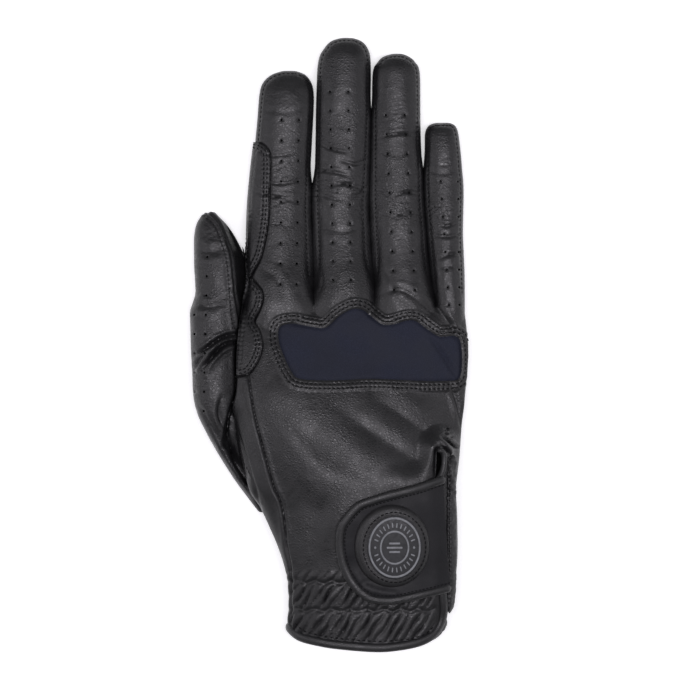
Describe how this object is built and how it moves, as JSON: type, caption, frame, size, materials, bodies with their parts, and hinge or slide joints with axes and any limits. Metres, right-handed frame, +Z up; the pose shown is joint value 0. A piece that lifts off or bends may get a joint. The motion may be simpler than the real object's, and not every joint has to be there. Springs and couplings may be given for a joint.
{
  "type": "riding glove",
  "caption": "Black leather riding glove for the right hand, with perforated fingers, a stretch knuckle panel, a gathered wrist and a wide closing strap with a round badge.",
  "frame": {"origin": "middle of the glove's outline in plan, on the flat surface that the palm rests on", "axes": "+Y along the fingers, +X towards the little finger, +Z up through the back of the hand"},
  "size_m": [0.1071, 0.2358, 0.0305],
  "materials": {
    "leather": "soft semi-gloss goatskin, black",
    "binding": "smooth rolled leather edge, black",
    "stretch": "matt stretch fabric, dark navy",
    "strap_fabric": "matt smooth woven face, black",
    "hook": "matt hook tape, black",
    "badge_rubber": "satin moulded rubber, black with grey relief"
  },
  "bodies": {
    "root": {"hand_back": "leather", "palm": "leather", "fourchette_index_middle": "leather", "fourchette_middle_ring": "leather", "fourchette_ring_little": "leather", "thumb_back": "leather", "thumb_front": "leather", "index_patch": "leather", "wrist_gather": "leather", "slit_facing": "leather", "badge_pad": "leather", "hem_binding": "binding", "slit_binding": "binding", "strap_binding": "binding", "knuckle_panel": "stretch", "strap": "strap_fabric", "hook_pad": "hook", "badge": "badge_rubber"}
  },
  "joints": []
}
